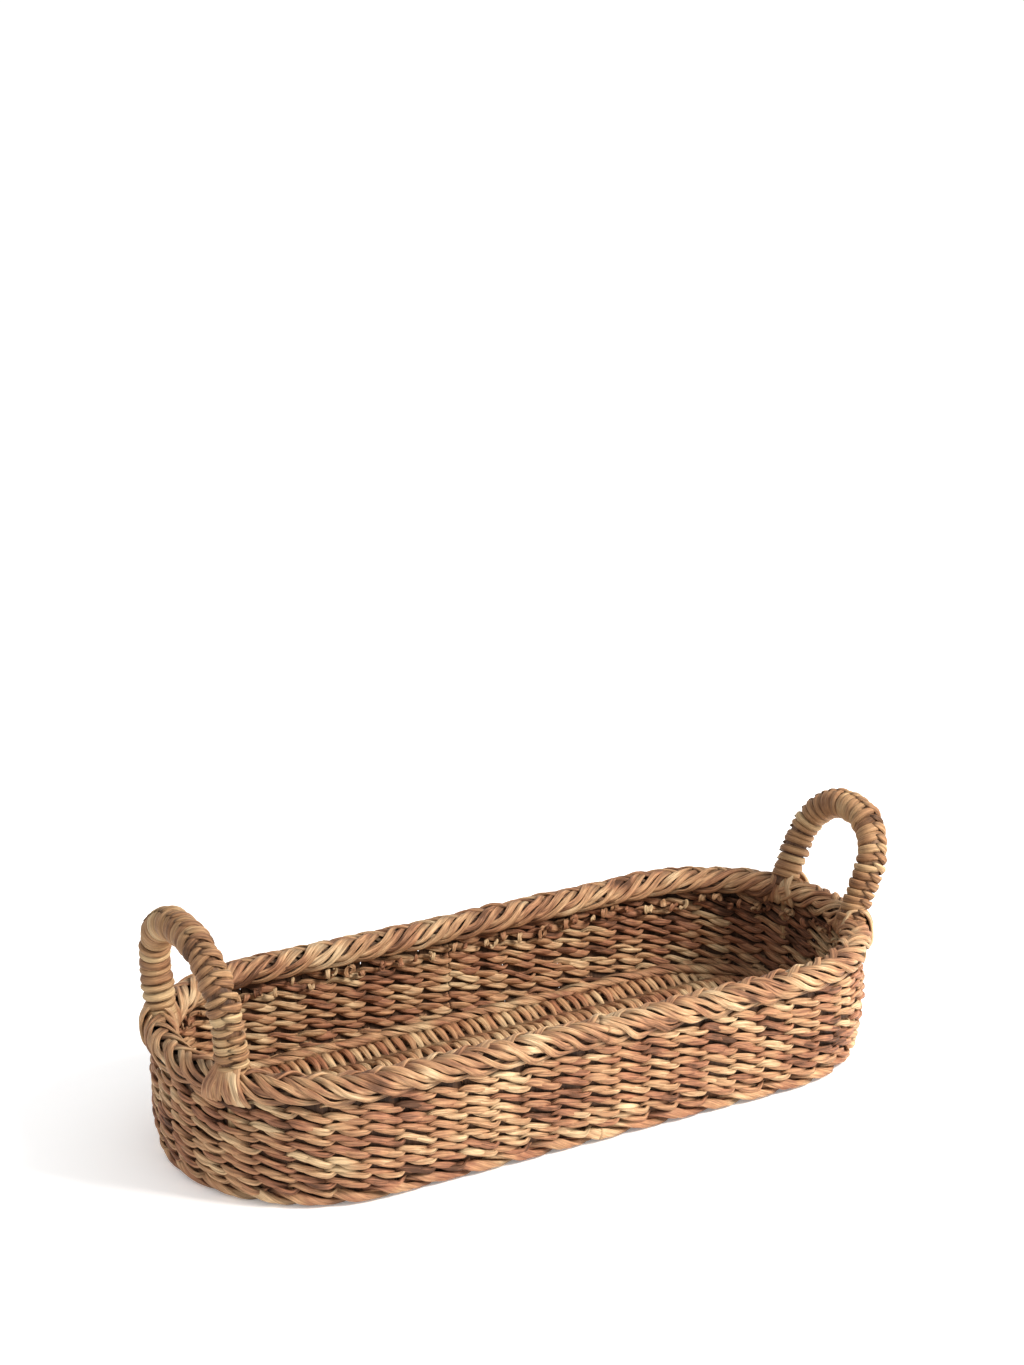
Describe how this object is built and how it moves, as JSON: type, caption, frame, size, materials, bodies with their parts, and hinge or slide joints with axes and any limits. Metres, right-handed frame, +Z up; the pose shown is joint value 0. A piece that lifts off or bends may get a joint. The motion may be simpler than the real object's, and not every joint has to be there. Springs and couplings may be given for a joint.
{
  "type": "bread basket",
  "caption": "Long oval bread basket woven from seagrass, with a plaited rim and an upright wrapped loop handle at each end.",
  "frame": {"origin": "middle of the basket's footprint, on the table that its foot coil stands on", "axes": "+X along the basket towards the handle that leans out more, +Y across it, +Z up"},
  "size_m": [0.4794, 0.1938, 0.1537],
  "materials": {
    "seagrass": "dry woven seagrass, mid brown",
    "seagrass_pale": "dry seagrass, straw coloured",
    "cane_core": "raw cane"
  },
  "bodies": {
    "root": {"foot_coil": "seagrass", "wall_course_1": "seagrass", "wall_course_2": "seagrass", "wall_course_3": "seagrass", "wall_course_4": "seagrass", "wall_course_5": "seagrass", "wall_course_6": "seagrass", "wall_course_7": "seagrass", "wall_course_8": "seagrass", "stakes_front": "seagrass", "stakes_right_end": "seagrass", "stakes_back": "seagrass", "stakes_left_end": "seagrass", "stake_tips": "seagrass", "rim_plait_outer": "seagrass_pale", "rim_plait_inner": "seagrass_pale", "rim_plait_top": "seagrass_pale", "floor_bundle_1": "seagrass", "floor_bundle_2": "seagrass", "floor_bundle_3": "seagrass", "floor_bundle_4": "seagrass", "floor_bundle_5": "seagrass", "floor_bundle_6": "seagrass", "floor_cross_strands": "seagrass", "corner_course_low": "seagrass", "corner_course_high": "seagrass", "handle_left_core": "cane_core", "handle_left_winding": "seagrass_pale", "lashing_left_front": "seagrass_pale", "lashing_left_back": "seagrass_pale", "handle_right_core": "cane_core", "handle_right_winding": "seagrass_pale", "lashing_right_front": "seagrass_pale", "lashing_right_back": "seagrass_pale"}
  },
  "joints": []
}
